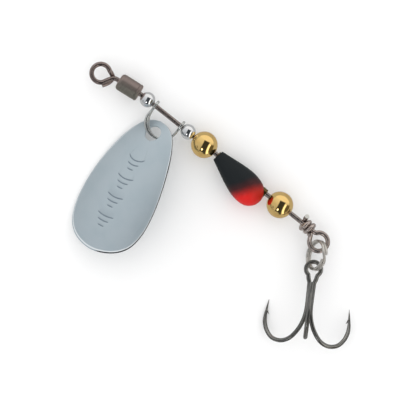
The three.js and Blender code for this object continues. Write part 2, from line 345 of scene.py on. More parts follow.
def combined(first, second, operation="UNION"):
    """Joins two closed shapes into one, or cuts the second from the first."""
    shapes = [bpy.data.objects.new("shape", meshed(shape)) for shape in (first, second)]
    for shape in shapes:
        bpy.context.scene.collection.objects.link(shape)
    cut = shapes[0].modifiers.new("cut", "BOOLEAN")
    cut.solver = "EXACT"
    cut.operation = operation
    cut.object = shapes[1]
    graph = bpy.context.evaluated_depsgraph_get()
    result = bpy.data.meshes.new_from_object(shapes[0].evaluated_get(graph))
    for shape in shapes:
        bpy.data.objects.remove(shape)
    return result


def piece(name, shape, place, finish, body, node=None, smooth=35):
    """Places a shape in the row's frame as a finished piece that rides on a body."""
    mesh = meshed(shape)
    mesh.name = name
    mesh.transform(place @ Matrix.Scale(MM, 4))
    mesh.polygons.foreach_set("use_smooth", [True] * len(mesh.polygons))
    mesh.set_sharp_from_angle(angle=math.radians(smooth))
    mesh.materials.clear()
    mesh.materials.append(finish.material)
    made = bpy.data.objects.new(name, mesh)
    bpy.context.scene.collection.objects.link(made)
    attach(made, body)
    if node:
        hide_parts(node)
    return made


# ---------------------------------------------------------------- finishes


class Value:
    """A shader socket. Arithmetic on it adds Math nodes."""

    def __init__(self, owner, socket):
        self.owner = owner
        self.socket = socket

    def maths(self, operation, *terms):
        """Adds a Math node."""
        return self.owner.node("ShaderNodeMath", {"operation": operation}, dict(enumerate(terms)))

    def __add__(self, other):
        return self.maths("ADD", self, other)

    def __sub__(self, other):
        return self.maths("SUBTRACT", self, other)

    def __rsub__(self, other):
        return self.maths("SUBTRACT", other, self)

    def __mul__(self, other):
        return self.maths("MULTIPLY", self, other)

    def __pow__(self, other):
        return self.maths("POWER", self, other)

    __radd__ = __add__
    __rmul__ = __mul__

    def step(self, low, high):
        """From 0 at low to 1 at high, smoothly."""
        inputs = {"Value": self, "From Min": low, "From Max": high}
        return self.owner.node("ShaderNodeMapRange", {"interpolation_type": "SMOOTHSTEP"}, inputs)


class Tree:
    """A shader tree and the ways to add to it."""

    def __init__(self, tree):
        self.tree = tree

    def link(self, socket, value):
        """Sets a socket to a number or colour, or links it."""
        if isinstance(value, Value):
            self.tree.links.new(value.socket, socket)
        else:
            socket.default_value = value

    def node(self, kind, settings=None, inputs=None, output=0):
        """Adds a node: its settings come first, and then the values or links of its sockets."""
        made = self.tree.nodes.new(kind)
        for key, value in (settings or {}).items():
            setattr(made, key, value)
        for key, value in (inputs or {}).items():
            self.link(made.inputs[key], value)
        return Value(self, made.outputs[output]) if made.outputs else None

    def blend(self, share, first, second):
        """Mixes two colours."""
        return self.node("ShaderNodeMix", {"data_type": "RGBA"}, {0: share, 6: first, 7: second}, 2)

    def noise(self, vector, scale, detail=3.0, roughness=0.5):
        """Cloudy noise from 0 to 1."""
        inputs = {"Vector": vector, "Scale": scale, "Detail": detail, "Roughness": roughness}
        return self.node("ShaderNodeTexNoise", None, inputs)

    def scaled(self, vector, x=1.0, y=1.0, z=1.0):
        """A vector stretched along its axes."""
        inputs = {"Vector": vector, "Scale": (x, y, z)}
        return self.node("ShaderNodeMapping", {"vector_type": "POINT"}, inputs)

    def parts(self, vector):
        """The three parts of a vector."""
        made = self.node("ShaderNodeSeparateXYZ", None, {0: vector})
        return [Value(self, socket) for socket in made.socket.node.outputs]


class Finish(Tree):
    """One material of the lure and the record's slot that it stands for."""

    def __init__(self, name, slot, **constants):
        self.material = bpy.data.materials.new(name)
        self.material.use_nodes = True
        super().__init__(self.material.node_tree)
        self.slot = slot
        self.shader = self.tree.nodes["Principled BSDF"]
        self.set(**constants)

    def set(self, **sockets):
        """Sets or links the shader's sockets; Base_Color stands for Base Color."""
        for key, value in sockets.items():
            self.link(self.shader.inputs[key.replace("_", " ")], value)

    def local(self, place):
        """Places in a piece's own frame, in millimetres."""
        at = self.node("ShaderNodeTexCoord", output="Object")
        inputs = {
            "Vector": at,
            "Location": place.translation,
            "Rotation": place.to_euler(),
            "Scale": (MM, MM, MM),
        }
        return self.node("ShaderNodeMapping", {"vector_type": "TEXTURE"}, inputs)

    def attribute(self, name, output="Vector"):
        """A value kept on the mesh."""
        return self.node("ShaderNodeAttribute", {"attribute_name": name}, None, output)

    def relief(self, height, millimetres, strength=1.0):
        """Fine relief from a height between 0 and 1."""
        inputs = {"Height": height, "Distance": millimetres * MM, "Strength": strength}
        self.set(Normal=self.node("ShaderNodeBump", None, inputs))


def polished(name, slot, shade, place, dull, roughness=0.05):
    """Bright plating with faint cloudiness, hairline scratches and a duller tint in patches."""
    finish = Finish(name, slot, Metallic=1.0)
    at = finish.local(place)
    clouds = finish.noise(at, 0.7, 4.0)
    hairs = finish.noise(finish.scaled(at, 1.2, 14.0, 14.0), 2.2, 5.0, 0.7)
    fine = finish.noise(at, 26.0, 2.0)
    finish.set(
        Base_Color=finish.blend(clouds.step(0.45, 0.8) * 0.55, shade, dull),
        Roughness=roughness + hairs.step(0.58, 0.72) * 0.07 + clouds.step(0.5, 0.75) * 0.04,
    )
    finish.relief(fine, 0.006, 0.25)
    return finish


def drawn(name, slot, shade, dark, roughness=0.3, along=0.08, grain=0.5, tail=None):
    """Drawn wire: streaks run along the strand and follow its bends.

    Past the place that tail gives, the wire is barer and brighter.
    """
    finish = Finish(name, slot, Metallic=1.0)
    if tail:
        bare = finish.parts(finish.local(tail))[0].step(-0.6, 0.4)
        shade = finish.blend(bare, shade, times(shade, 1.5))
        dark = finish.blend(bare, dark, times(dark, 2.2))
    strand = finish.attribute("strand")
    streaks = finish.noise(finish.scaled(strand, 3.2, 3.2, along), 1.6, 5.0, 0.65)
    mottle = finish.noise(finish.scaled(strand, 1.0, 1.0, 0.9), 1.3, 3.0)
    finish.set(
        Base_Color=finish.blend(streaks.step(0.38, 0.62) * 0.75 + mottle * 0.25, dark, shade),
        Roughness=roughness + streaks * 0.12 + mottle.step(0.4, 0.7) * 0.08,
    )
    finish.relief(streaks, 0.02, grain)
    return finish


def bright_strip(place):
    """Nickel on stamped strip: bright, with broad cloudy patches that are a little duller."""
    shade = tint("nickel")
    finish = Finish("clevis_plating", "clevis_nickel", Metallic=1.0)
    clouds = finish.noise(finish.local(place), 0.9, 3.0)
    finish.set(
        Base_Color=finish.blend(clouds.step(0.4, 0.7), shade, times(shade, 0.78)),
        Roughness=0.10 + clouds.step(0.35, 0.75) * 0.10,
    )
    return finish


def brushed_barrel(place):
    """Gunmetal turned on a lathe: fine rings, painted shade on one side, a painted highlight on the rims,
    pale abraded patches.
    """
    shade = tint("gunmetal")
    finish = Finish("gunmetal_turned", "gunmetal", Metallic=1.0)
    at = finish.local(place)
    x, y, z = finish.parts(at)
    rings = finish.noise(finish.scaled(at, 11.0, 0.35, 0.35), 1.5, 4.0, 0.7)
    stain = finish.noise(at, 0.9, 4.0, 0.6)
    radius = (y * y + z * z) ** 0.5
    # Painted highlight: the rolled rims, where the radius falls below 1.32 mm, turn pale; the stain's
    # patches add real abrasion.
    rim_highlight_and_wear = radius.step(1.32, 1.20) + stain.step(0.62, 0.75) * 0.35
    highlight_and_wear_tint = times(shade, 2.4)
    # Painted shade: a darker greenish tint for the side of the barrel towards +Y; the other side keeps the
    # warm gunmetal.
    painted_shade_olive = times(shade, 0.80, 0.98, 0.88)
    base = finish.blend(y.step(0.7, -0.5) * 0.8 + stain.step(0.4, 0.7) * 0.2, painted_shade_olive, shade)
    base = finish.blend(rings.step(0.35, 0.7) * 0.4, base, times(shade, 0.55))
    finish.set(Base_Color=finish.blend(rim_highlight_and_wear * 0.5, base, highlight_and_wear_tint), Roughness=0.40 + rings * 0.16)
    finish.relief(rings, 0.03, 0.6)
    return finish


def blade_plate(place):
    """Nickel on a pressed plate: an even fine grain with faint haze and hairlines.

    It has painted shade in the stamped ripples, a painted highlight along the rim, where it is also
    smoother, and painted shade on the edge of its wall on one side.
    """
    shade = tint("blade")
    finish = Finish("blade_plating", "blade_nickel")
    at = finish.local(place)
    stamp = finish.attribute("stamp", "Fac")
    grain = finish.noise(at, 9.0, 4.0, 0.7)
    haze = finish.noise(at, 0.25, 3.0)
    hairs = finish.noise(finish.scaled(at, 6.0, 0.5, 1.0), 2.0, 5.0, 0.7)
    # Painted shade: a darker tint for the stamped ripples.
    painted_shade_tint = times(shade, 0.50, 0.53, 0.57)
    hazy = times(shade, 0.90, 0.93, 0.94)
    base = finish.blend(haze.step(0.4, 0.7) * 0.6 + grain * 0.2, shade, hazy)
    # Painted highlight: a pale band along the rim.
    rim = finish.attribute("rim", "Fac")
    painted_rim_highlight = finish.blend(rim.step(0.2, 0.9), base, (0.72, 0.76, 0.78, 1.0))
    # Painted shade: the edge of the wall is dark on one side of the blade.
    wall = finish.blend(finish.attribute("wall", "Fac").step(0.2, 0.6), painted_rim_highlight, (0.035, 0.04, 0.045, 1.0))
    finish.set(
        Metallic=0.62 - rim * 0.37,
        Base_Color=finish.blend(stamp.step(0.05, 0.7), wall, painted_shade_tint),
        Roughness=0.38 + grain * 0.10 + hairs.step(0.55, 0.75) * 0.06 - rim * 0.24,
    )
    finish.relief(grain * 0.6 + hairs * 0.4, 0.012, 0.5)
    return finish


def drop_paint(place):
    """Sprayed paint: black fades through maroon into red, with an orange-peel skin; painted shade darkens
    the red on one side.
    """
    finish = Finish("body_paint", "body_paint", Specular_IOR_Level=0.12, Coat_Roughness=0.22)
    at = finish.local(place)
    x, y, z = finish.parts(at)
    speck = finish.noise(at, 7.0, 4.0, 0.6)
    drift = finish.noise(at, 0.5, 2.0)
    along = x - y * 0.42 + (speck - 0.5) * 0.9 + (drift - 0.5) * 0.6
    front, between, rear = tint("paint_front"), tint("paint_middle"), tint("paint_rear")
    # Painted shade: the red is darker on the side where y is high.
    painted_light_side = y.step(1.2, -1.6)
    painted_shade_tint = times(rear, 0.62, 1.3, 0.8)
    base = finish.blend(along.step(5.3, 7.4), front, between)
    base = finish.blend(along.step(6.7, 8.7), base, finish.blend(painted_light_side, painted_shade_tint, rear))
    finish.set(
        Base_Color=base,
        Roughness=0.42 + speck * 0.10 - along.step(5.5, 8.0) * 0.06,
        Coat_Weight=0.02 + along.step(5.5, 8.0) * 0.08,
    )
    finish.relief(finish.noise(at, 4.5, 2.0), 0.03, 0.5)
    return finish


def hook_plating():
    """Black nickel on forged wire: satin, with slim paler streaks along it."""
    shade = tint("hook")
    finish = Finish("hook_plating", "hook_steel", Metallic=1.0)
    strand = finish.attribute("strand")
    streaks = finish.noise(finish.scaled(strand, 2.0, 2.0, 0.12), 1.4, 5.0, 0.6)
    grain = finish.noise(finish.scaled(strand, 2.0, 2.0, 2.4), 4.0, 3.0)
    finish.set(
        Base_Color=finish.blend(streaks.step(0.42, 0.58), times(shade, 0.28), shade),
        Roughness=0.14 + grain * 0.12 + streaks * 0.06,
    )
    finish.relief(grain, 0.012, 0.5)
    return finish


# ---------------------------------------------------------------- pieces


def on_shaft(x):
    """A place on the shaft, x in metres, turned as the row is."""
    return Matrix.Translation((x, SHAFT.y, SHAFT.z))


BEADS = (
    ("nose_bead", "nose_bead", "chrome"),
    ("bearing_bead", "bearing_bead", "chrome"),
    ("front_brass_bead", "front_bead", "brass"),
    ("rear_brass_bead", "rear_bead", "brass"),
)
TARNISH = {"chrome": (0.7, 0.72, 0.75, 1.0), "brass": (0.72, 0.42, 0.12, 1.0)}
BEAD_SIDES = 88
BEAD_ROUNDING = 0.035


def bead(name, radius, finish, body):
    """A ball with a bore whose edges are rounded."""
    start = math.asin(mm("bore_radius") / radius)
    angles = spread(start, math.pi - start, BEAD_SIDES // 2)
    bm = lathe([(-radius * math.cos(a), radius * math.sin(a)) for a in angles], BEAD_SIDES)
    soften(bm, BEAD_ROUNDING * radius, 3, 50)
    return piece(name, bm, on_shaft(middle(name).x), finish, body, name)


class SPINNER_OT_beads(bpy.types.Operator):
    """Turns the two chrome beads and the two brass beads"""

    bl_idname = "spinner.beads"
    bl_label = "Beads"

    def execute(self, context):
        for name, body, metal in BEADS:
            place = on_shaft(middle(name).x)
            finish = polished(f"{name}_{metal}", metal, tint(metal), place, TARNISH[metal])
            bead(name, mm(f"{metal}_bead_radius"), finish, body)
        return {"FINISHED"}


BODY_PROFILE = ((0.23, 0.65), (0.41, 0.85), (0.62, 1.0), (0.81, 0.94), (0.92, 0.71), (0.985, 0.33))
BODY_ROUNDING = 0.14
TUBE_FIT = 0.02
TUBE_SHRINK = 0.01
CUT_OVERRUN = 1.0


class SPINNER_OT_body(bpy.types.Operator):
    """Turns the keeled drop, bores it for its core tube, and makes the tube"""

    bl_idname = "spinner.body"
    bl_label = "Body"

    def execute(self, context):
        long, radius, nose = mm("body_length"), mm("body_radius"), mm("body_nose_radius")
        tube, bore = mm("tube_radius"), mm("bore_radius")
        low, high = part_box("body_core_tube")
        tube_length = (high.x - low.x) / MM
        place = on_shaft(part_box("body")[0].x)
        tube_place = on_shaft(low.x)
        lean = math.degrees(context.scene.spinner_sizes.body_keel)
        shares = ((x * long, r * radius, 0) for x, r in BODY_PROFILE)
        edge = through([(0, nose, 0), *shares, (long, 0, 0)], 9)
        profile = [(0, 0), *((min(p.x, long), max(p.y, 0.0)) for p in edge[:-1]), (long, 0)]
        drop = lathe(profile, 96)
        soften(drop, BODY_ROUNDING, 4, 50)
        bmesh.ops.rotate(drop, verts=drop.verts, matrix=turned_by(z=-lean).to_3x3())
        front = (tube_place.translation.x - place.translation.x) / MM - CUT_OVERRUN
        back, hole = long + CUT_OVERRUN, tube + TUBE_FIT
        reamer = lathe(
            [(front, 0), (front, hole + 0.2), (0.02, hole + 0.12), (0.3, hole), (back, hole), (back, 0)], 64
        )
        shape = combined(drop, reamer, "DIFFERENCE")
        piece("body", shape, place, drop_paint(place @ turned_by(z=-lean)), "drop", "body", 40)

        outside = tube - TUBE_SHRINK
        pipe = lathe([(0, bore), (0, outside), (tube_length, outside), (tube_length, bore)], 64)
        soften(pipe, 0.05, 3, 50)
        # The core tube is brass darkened to a sixth of its colour, with darker brown patches.
        darkened_brass = times(tint("brass"), 0.16)
        brass = polished("tube_brass", "brass", darkened_brass, tube_place, (0.06, 0.03, 0.02, 1.0), 0.2)
        piece("body_core_tube", pipe, tube_place, brass, "drop", "body_core_tube")
        return {"FINISHED"}


SWIVEL = Matrix.Translation(pivot("barrel_spin")) @ turned_by(z=SWIVEL_TURN)
BARREL_START = 0.3
HEAD_RADIUS = 0.8
HEAD_LENGTH = 0.45
HEAD_PLAY = 0.15
HEAD_OVERLAP = 0.2
BARREL_END = 0.55
BARREL_WALL = 0.4
BARREL_ROLLS = ((0.34, 0.3), (0.6, 0.5))
BARREL_GROOVE = ((0.46, 0), (0.50, 0.07), (0.56, 0.07), (0.62, 0.01), (1.4, 0))
LOOP_FROM_BARREL = Vector((3.2, 0.54, 0))
EYE_RISE = ((0.72, 0.02, 0), (1.2, 0.34, 0.05), (1.75, 1.05, 0.04))
EYE_RETURN = (
    (1.75, -0.38, -0.22), (1.25, 0.0, -0.62), (1.2, 0.75, -0.66), (1.55, 1.5, -0.55), (2.0, 2.1, -0.42),
)


def wire_head(x):
    """The upset head on the end of a wire inside the barrel."""
    bm = lathe([(x, 0), (x, HEAD_RADIUS), (x + HEAD_LENGTH, HEAD_RADIUS), (x + HEAD_LENGTH, 0)], 40)
    soften(bm, 0.12, 3, 50)
    return bm


class SPINNER_OT_swivel(bpy.types.Operator):
    """Turns the hollow barrel with its rolled rims and bends the line eye"""

    bl_idname = "spinner.swivel"
    bl_label = "Swivel"

    def execute(self, context):
        radius, bore, gauge = mm("barrel_radius"), mm("bore_radius"), mm("wire_radius")
        start = BARREL_START
        stop = start + mm("barrel_length")
        inner = radius - BARREL_WALL
        left, right = start + BARREL_END, stop - BARREL_END
        (front_long, front_deep), (rear_long, rear_deep) = BARREL_ROLLS
        rim = [
            (start + front_long - front_long * math.sin(a), radius - front_deep + front_deep * math.cos(a))
            for a in spread(1.5, 0, 8)
        ]
        nose = [
            (stop - rear_long + rear_long * math.sin(a), radius - rear_deep + rear_deep * math.cos(a))
            for a in spread(0, 1.45, 10)
        ]
        profile = [
            (start, bore), (start + 0.02, radius - 0.55), *rim,
            *((start + x, radius - depth) for x, depth in BARREL_GROOVE),
            (stop - 1.2, radius), *nose, (stop, radius - 0.62), (stop, bore),
            (right, bore), (right, inner), (left, inner), (left, bore),
        ]
        barrel = lathe(profile, 96)
        soften(barrel, 0.05, 2, 60)
        piece("swivel_barrel", barrel, SWIVEL, brushed_barrel(SWIVEL), "barrel", "swivel_barrel")

        centre = Vector((stop, 0, 0)) + LOOP_FROM_BARREL
        head_x = stop - BARREL_END - HEAD_PLAY - HEAD_LENGTH
        path = [
            *spread_points((head_x + HEAD_OVERLAP, 0, 0), (stop + 0.5, 0, 0), 6),
            *through([(stop + x, y, z) for x, y, z in EYE_RISE], 6),
            *arc(centre, mm("loop_radius"), 134, -132, 64),
            *through([(stop + x, y, z) for x, y, z in EYE_RETURN], 7),
        ]
        shape = combined(wire(path, gauge, 24), wire_head(head_x))
        pale, dark = times(tint("gunmetal"), 1.5), (0.12, 0.10, 0.09, 1.0)
        piece("line_eye", shape, SWIVEL, drawn("eye_wire", "gunmetal", pale, dark, 0.16), "eye", "line_eye")
        return {"FINISHED"}


WRAP_STEPS = 30
WRAP_TO_LOOP = 1.75
WRAP_GAP = 0.08
WRAP_LIFT = 0.03
WRAP_START_ANGLE = -60
WRAP_CUT_SHORT = 0.3
TAG = Vector((-0.06, 0.50, 0.72))
CUT_END_REACH = 0.12


class SPINNER_OT_shaft(bpy.types.Operator):
    """Bends the shaft from one wire: head, kink, straight run, tail loop, wraps and cut end"""

    bl_idname = "spinner.shaft"
    bl_label = "Shaft"

    def execute(self, context):
        gauge, loop_radius = mm("wire_radius"), mm("loop_radius")
        turns = context.scene.spinner_sizes.wraps
        pitch = 2 * gauge + WRAP_GAP
        place = on_shaft(SHAFT.x)
        local = place.inverted()
        kink = (local @ pivot("barrel_spin")) / MM
        ring_pivot = (local @ pivot("ring_swing")) / MM
        heading = Vector(JOINTS["ring_swing"]["axis"])
        loop_centre = ring_pivot - loop_radius * Vector((heading.y, -heading.x, 0))
        loop_centre.z = 0
        wrap_end = loop_centre.x - WRAP_TO_LOOP
        wrap_start = wrap_end - turns * pitch
        back = SWIVEL_AXIS.normalized()
        head_at = BARREL_START + BARREL_END + HEAD_PLAY
        round_wire = 2 * gauge + WRAP_LIFT
        coils = []
        for k in range(round(WRAP_STEPS * (turns - WRAP_CUT_SHORT)) + 1):
            angle = math.radians(WRAP_START_ANGLE + 360 * k / WRAP_STEPS)
            x = wrap_end - pitch * k / WRAP_STEPS
            coils.append(Vector((x, -round_wire * math.cos(angle), -round_wire * math.sin(angle))))
        tag = coils[-1] + TAG
        loop = arc(loop_centre, loop_radius, 126, -146, 60)
        into_loop = [(wrap_start + 0.6, 0, 0), (wrap_end, 0, 0), (wrap_end + 0.55, 0.12, 0), *loop[:2]]
        path = [
            *spread_points(kink + back * (head_at + HEAD_OVERLAP), kink + back * 0.35, 4),
            *spread_points(kink + Vector((0.25, 0, 0)), (wrap_start, 0, 0), 12),
            *through(into_loop, 6)[:-1],
            *loop[2:-2],
            *through([*loop[-2:], coils[2]], 8)[4:-1],
            *coils[2:-1],
            *through([coils[-1], coils[-1].lerp(tag, 0.45) + Vector((0, 0.05, -0.03)), tag], 4),
        ]
        shape = combined(wire(path, gauge, 24), placed_head(kink, back, head_at))
        pale, dark = tint("wire"), (0.13, 0.105, 0.10, 1.0)
        tail = place @ Matrix.Translation((wrap_start * MM, 0, 0))
        steel = drawn("shaft_steel", "shaft_wire", pale, dark, 0.15, tail=tail)
        made = piece("shaft_wire", shape, place, steel, "shaft", "shaft_wire")
        cut = Finish("cut_wire_end", "shaft_wire", Metallic=1.0)
        marks = cut.noise(cut.scaled(cut.local(place), 3.0, 16.0, 3.0), 2.0, 3.0)
        bare = cut.blend(marks, (0.55, 0.55, 0.52, 1), (0.8, 0.8, 0.77, 1))
        cut.set(Base_Color=bare, Roughness=0.3 + marks * 0.2)
        made.data.materials.append(cut.material)
        end = place @ (tag * MM)
        for face in made.data.polygons:
            if (face.center - end).length < CUT_END_REACH * MM and len(face.vertices) > 6:
                face.material_index = 1
        return {"FINISHED"}


def placed_head(kink, back, distance):
    """The shaft's own head, inside the barrel."""
    head = wire_head(distance)
    bmesh.ops.transform(head, matrix=Matrix.Translation(kink) @ turned_by(z=SWIVEL_TURN), verts=head.verts)
    return head


CLEVIS_EYE_RADIUS = 1.02
CLEVIS_EYE_THICKNESS = 0.42
STRIP_OPEN_AT = 0.29


class SPINNER_OT_clevis(bpy.types.Operator):
    """Folds the clevis: a strip with two eyes on the shaft and a twisted bow through the blade"""

    bl_idname = "spinner.clevis"
    bl_label = "Clevis"

    def execute(self, context):
        span, depth, bore = mm("clevis_span"), mm("clevis_depth"), mm("bore_radius")
        half = span / 2
        place = on_shaft(middle("clevis").x)
        bow = (0, -(depth - half), 0)
        leg = (bore + CLEVIS_EYE_RADIUS) / 2
        path = [
            *spread_points((-half, -leg, 0), (-half, bow[1] + 0.1, 0), 8),
            *arc(bow, half, 180, 360, 60)[1:-1],
            *spread_points((half, bow[1] + 0.1, 0), (half, -leg, 0), 8),
        ]
        shares = [k / (len(path) - 1) for k in range(len(path))]
        places = list(stations(path, (0, 0, 1)))

        def swell(share):
            """How far the strip has opened out, from its ends to the front of the bow."""
            return eased(max(0.0, 1 - abs(share - STRIP_OPEN_AT) / STRIP_OPEN_AT))

        def lip(shift, half_width, half_height):
            """One lip of the folded strip, that far in from the bow's middle line."""
            run = [place @ Vector((-shift * swell(share), 0, 0)) for share, place in zip(shares, places)]
            size = mm("strip_width")
            return sweep(run, lambda share: (size * half_width(swell(share)), half_height), 20)

        outer = lip(-0.08, lambda open_out: 0.22 + 0.10 * open_out, 0.20)
        inner = lip(0.42, lambda open_out: 0.23 - 0.08 * open_out, 0.23)
        shape = combined(outer, inner)
        for x in (-half, half):
            low, high = x - CLEVIS_EYE_THICKNESS / 2, x + CLEVIS_EYE_THICKNESS / 2
            eye = lathe([(low, bore), (low, CLEVIS_EYE_RADIUS), (high, CLEVIS_EYE_RADIUS), (high, bore)], 56)
            soften(eye, 0.12, 3, 50)
            shape = combined(shape, eye)
        piece("clevis", shape, place, bright_strip(place), "clevis", "clevis", 50)
        return {"FINISHED"}


BLADE_HALF = [
    (-2.42, 0), (-2.1, 1.5), (-1.3, 2.85), (0, 3.85), (2.6, 5.12), (7.4, 6.47), (12.2, 7.12), (16, 6.95),
    (18.8, 5.95), (20.7, 3.8), (21.65, 0),
]
BLADE_RAYS = 208
BLADE_DOME = Vector((14.5, 25.9, 12.0))
BLADE_DOME_AT = 9.5
BLADE_DOME_RISE = 0.9
BLADE_SEAT = Vector((-0.2, 0.36, 0.3))
BLADE_TURN, BLADE_ROLL, BLADE_TILT = 189.5, 5.5, 27.0
BLADE_ROUNDING = 0.06
SHARES_NEAR_HOLE = (0.008, 0.03, 0.07)
SHARES_NEAR_RIM = (0.84, 0.88, 0.905)
RIM_FULL_FROM = 5.8
# Rim rings: inset, painted highlight, and painted shade that darkens only the side where x is negative.
RIM_RINGS = ((0.44, 0, 0), (0.36, 1, 0), (0.24, 1, 0), (0.18, 0, 1), (0, 0, 1))
RIM_PAINTED_SHADE_OVER = 3
RIPPLE_STARTS = (0.20, 0.37, 0.54, 0.71)
RIPPLE_STEP = 0.042
RIPPLE_EDGES = ((-0.007, 0.0), (-0.002, 1.0), (0.002, 1.0), (0.007, 0.0), (0.022, 0.0))
RIPPLE_HALF_WIDTHS = (1.7, 1.2, 0.7)
RIPPLE_END_FADE = 0.35


def even_outline(half, count):
    """Evenly spaced points round a closed outline given by the along and across of one half."""
    right = [(x, y, 0) for y, x in half]
    left = [(-x, y, 0) for y, x in reversed(half[1:-1])]
    path = through([*right, *left, right[0]], 24)
    runs = [0.0]
    for a, b in zip(path, path[1:]):
        runs.append(runs[-1] + (b - a).length)
    points, k = [], 0
    for target in spread(0, runs[-1], count)[:-1]:
        while runs[k + 1] < target:
            k += 1
        points.append(path[k].lerp(path[k + 1], (target - runs[k]) / (runs[k + 1] - runs[k])))
    return points


def blade_levels():
    """The rings of the plate, from the hole to the rim.

    Each has its share of the way, how far it then steps back from the rim, how much painted highlight and
    how much painted shade it has, how far the ripples are pressed in there, and their half width.
    """
    levels = [(share, 0.0, 0.0) for share in SHARES_NEAR_HOLE]
    for start in RIPPLE_STARTS:
        for k, half_width in enumerate(RIPPLE_HALF_WIDTHS):
            at = start + k * RIPPLE_STEP
            levels += [(at + away, depth, half_width) for away, depth in RIPPLE_EDGES]
    levels += [(share, 0.0, 0.0) for share in SHARES_NEAR_RIM]
    return [(share, 0.0, 0, 0, depth, half_width) for share, depth, half_width in levels] + [
        (1.0, inset, bright, dark, 0.0, 0.0) for inset, bright, dark in RIM_RINGS
    ]


def blade_height(at):
    """How high the domed face stands over the blade's own base plane."""
    flat = 1 - (at.x / BLADE_DOME.x) ** 2 - ((at.y - BLADE_DOME_AT) / BLADE_DOME.y) ** 2
    return BLADE_DOME_RISE - BLADE_DOME.z * (1 - math.sqrt(flat))


class SPINNER_OT_blade(bpy.types.Operator):
    """Presses the blade: a domed plate with a hole, stamped ripples and a rounded rim"""

    bl_idname = "spinner.blade"
    bl_label = "Blade"

    def execute(self, context):
        thickness, hole = mm("blade_thickness"), mm("blade_hole_radius")
        rim = even_outline(BLADE_HALF, BLADE_RAYS)
        hub = [p.normalized() * hole for p in rim]
        bm = bmesh.new()
        ray = bm.verts.layers.int.new("ray")
        stamp = bm.verts.layers.float.new("stamp")
        bright = bm.verts.layers.float.new("rim")
        wall = bm.verts.layers.float.new("wall")
        ring = bmesh.ops.create_circle(bm, cap_ends=False, segments=BLADE_RAYS, radius=hole)["verts"]
        for k, v in enumerate(ring):
            v[ray] = k
            v.co = hub[k]
        for share, inset, painted_rim_highlight, shade, depth, half_width in blade_levels():
            ring = grown(bm, ring)
            for v in ring:
                back = hub[v[ray]] - rim[v[ray]]
                narrow = min(1.0, back.length / RIM_FULL_FROM)
                v.co = hub[v[ray]].lerp(rim[v[ray]], share) + back.normalized() * inset * narrow
                # Painted highlight along the rim; painted shade on the outer rings where x is negative.
                v[bright] = painted_rim_highlight
                v[wall] = shade * clamp(-v.co.x / RIM_PAINTED_SHADE_OVER)
                inside = half_width - abs(v.co.x)
                v[stamp] = depth * clamp(inside / RIPPLE_END_FADE) if v.co.y > 0 else 0.0
        for v in bm.verts:
            v.co.z = blade_height(v.co) - v[stamp] * mm("stamp_depth")
        bmesh.ops.recalc_face_normals(bm, faces=bm.faces)
        if sum(f.normal.z for f in bm.faces) < 0:
            bmesh.ops.reverse_faces(bm, faces=bm.faces)
        bmesh.ops.solidify(bm, geom=bm.faces, thickness=thickness)
        bmesh.ops.recalc_face_normals(bm, faces=bm.faces)
        soften(bm, BLADE_ROUNDING, 2, 62)
        bow = Vector((0, -mm("clevis_depth"), 0)) + BLADE_SEAT
        turn = turned_by(z=BLADE_TURN) @ turned_by(x=BLADE_ROLL) @ turned_by(y=BLADE_TILT)
        place = on_shaft(middle("clevis").x) @ Matrix.Translation(bow * MM) @ turn
        piece("blade", bm, place, blade_plate(place), "blade", "blade")
        return {"FINISHED"}


RING_SIDE = Vector(JOINTS["hook_swing"]["axis"]).normalized()
RING_ACROSS = Vector(JOINTS["ring_swing"]["axis"]).normalized()
RING_LONG = Vector((RING_ACROSS.y, -RING_ACROSS.x, 0))
RING_NORMAL = RING_LONG.cross(RING_SIDE)
RING_GAP = 0.06
RING_FROM, RING_TO, RING_STEPS = 100, 800, 220
RING_CROSSING, RING_CROSSING_LENGTH = 425, 50


class SPINNER_OT_split_ring(bpy.types.Operator):
    """Coils the split ring: two turns side by side, with one step between them"""

    bl_idname = "spinner.split_ring"
    bl_label = "Split ring"

    def execute(self, context):
        radius, gauge = mm("ring_radius"), mm("ring_wire_radius")
        step = 2 * gauge + RING_GAP
        centre = pivot("hook_swing") - RING_LONG * radius * MM
        path = []
        for angle in spread(RING_FROM, RING_TO, RING_STEPS):
            across = eased(clamp((angle - RING_CROSSING) / RING_CROSSING_LENGTH)) - 0.5
            turn = math.radians(angle)
            out = RING_LONG * math.cos(turn) + RING_SIDE * math.sin(turn)
            path.append(out * radius + RING_NORMAL * across * step)
        shape = wire(path, gauge, 20, RING_NORMAL)
        dark = (0.48, 0.45, 0.42, 1.0)
        steel = drawn("ring_spring_steel", "ring_steel", tint("ring"), dark, 0.2, 0.06, 0.35)
        piece("split_ring", shape, Matrix.Translation(centre), steel, "ring", "split_ring")
        return {"FINISHED"}


HOOK_BEND = [
    (2.3, 0.44), (7.3, 0.46), (9.1, 0.98), (10.5, 1.82), (11.65, 3.05), (12.08, 4.6),
    (11.65, 6.3), (10.5, 7.42), (9.2, 7.97), (8.2, 8.07), (6.7, 7.93), (5.25, 7.74),
]
HOOK_POINT_SHARE = 0.80
HOOK_TIP_RADIUS = 0.025
HOOK_TAPER = 1.35
HOOK_TURN = (4, -13, -59.5)
HOOK_EYE_FOOT = (1.65, 0.62, -0.1)
BARB_AT = (7.42, 7.66)
BARB_LEAN = (0.82, -0.57)
BRAZE_PROFILE = [(2.5, 0), (2.6, 0.22), (2.9, 0.34), (6.9, 0.34), (7.6, 0.2), (7.9, 0)]


def hook_run(outward):
    """The middle line of one hook, from the foot of the eye to its point, in the plane of its bend."""
    return [Vector((p.x, 0, 0)) + outward * p.y for p in through([(x, y, 0) for x, y in HOOK_BEND], 10)]


def tapered(share_to_tip, gauge):
    """The half width of the wire: full at the shank, and a long point at the tip."""
    reach = max(0.0, (share_to_tip - HOOK_POINT_SHARE) / (1 - HOOK_POINT_SHARE)) ** HOOK_TAPER
    return gauge * (1 - reach) + HOOK_TIP_RADIUS * reach


